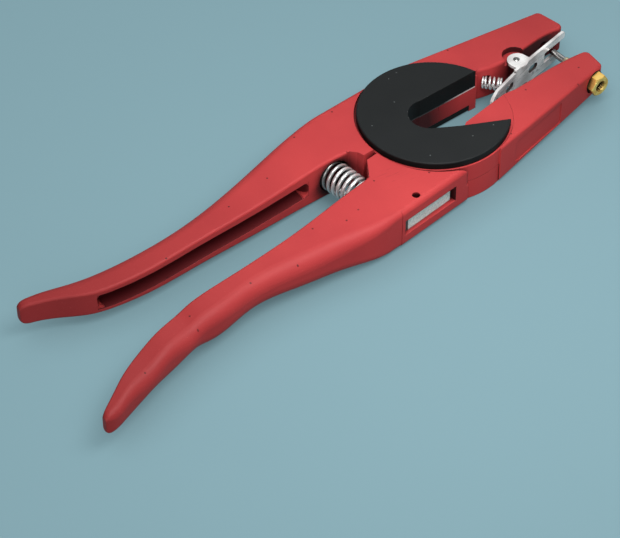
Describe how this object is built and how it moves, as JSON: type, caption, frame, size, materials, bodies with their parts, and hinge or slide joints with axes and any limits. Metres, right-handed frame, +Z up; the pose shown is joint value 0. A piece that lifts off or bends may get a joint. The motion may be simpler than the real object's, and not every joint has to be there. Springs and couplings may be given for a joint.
{
  "type": "ear tag applicator",
  "caption": "Hand plier for livestock ear tags: two crossed cast levers on an open C-shaped hub, one jaw with a sprung tag clip and the other with a steel pin, and a return spring.",
  "frame": {"origin": "on the hub axis at the height of the levers' underside", "axes": "+Z up out of the hub's black top plate, +X from the hub towards the jaws along the far jaw's outer side, +Y from the pin jaw towards the clip jaw"},
  "size_m": [0.2535, 0.1041, 0.0193],
  "materials": {
    "painted_red": "satin red paint on cast aluminium",
    "black_cap": "matte black",
    "shim_steel": "plain steel",
    "screw_steel": "dark zinc",
    "bar_steel": "grainy zinc",
    "dowel_steel": "dark steel",
    "spring_steel": "bright wire",
    "clip_steel": "polished sheet",
    "pin_steel": "polished",
    "sleeve_brass": "pale brass",
    "nut_brass": "bright brass",
    "washer_black": "dark"
  },
  "bodies": {
    "frame": {"frame_lever": "painted_red", "hub_cap": "black_cap", "hub_shim": "shim_steel", "lower_cap": "black_cap", "hub_screws": "screw_steel", "side_bar": "bar_steel", "bar_dowel": "dowel_steel", "return_spring": "spring_steel", "clip_spring": "spring_steel", "clip_pin": "pin_steel"},
    "pin_side": {"pin_lever": "painted_red", "applicator_pin": "pin_steel", "pin_sleeve": "sleeve_brass", "pin_nut": "nut_brass", "nut_washer": "washer_black"},
    "clip": {"tag_clip": "clip_steel"}
  },
  "joints": [
    {"name": "hub_hinge", "type": "hinge", "parent": "frame", "child": "pin_side", "pos_m": [0, 0, 0], "axis": [0, 0, 1], "range_deg": [-30, 4], "stiffness_Nm_per_rad": 0.3, "springref_deg": -51.57, "deforming": ["return_spring"]},
    {"name": "clip_hinge", "type": "hinge", "parent": "frame", "child": "clip", "pos_m": [0.0476, 0.0139, 0], "axis": [0, 0, 1], "range_deg": [-15, 0], "stiffness_Nm_per_rad": 0.05, "springref_deg": 17.19, "deforming": ["clip_spring"]}
  ]
}
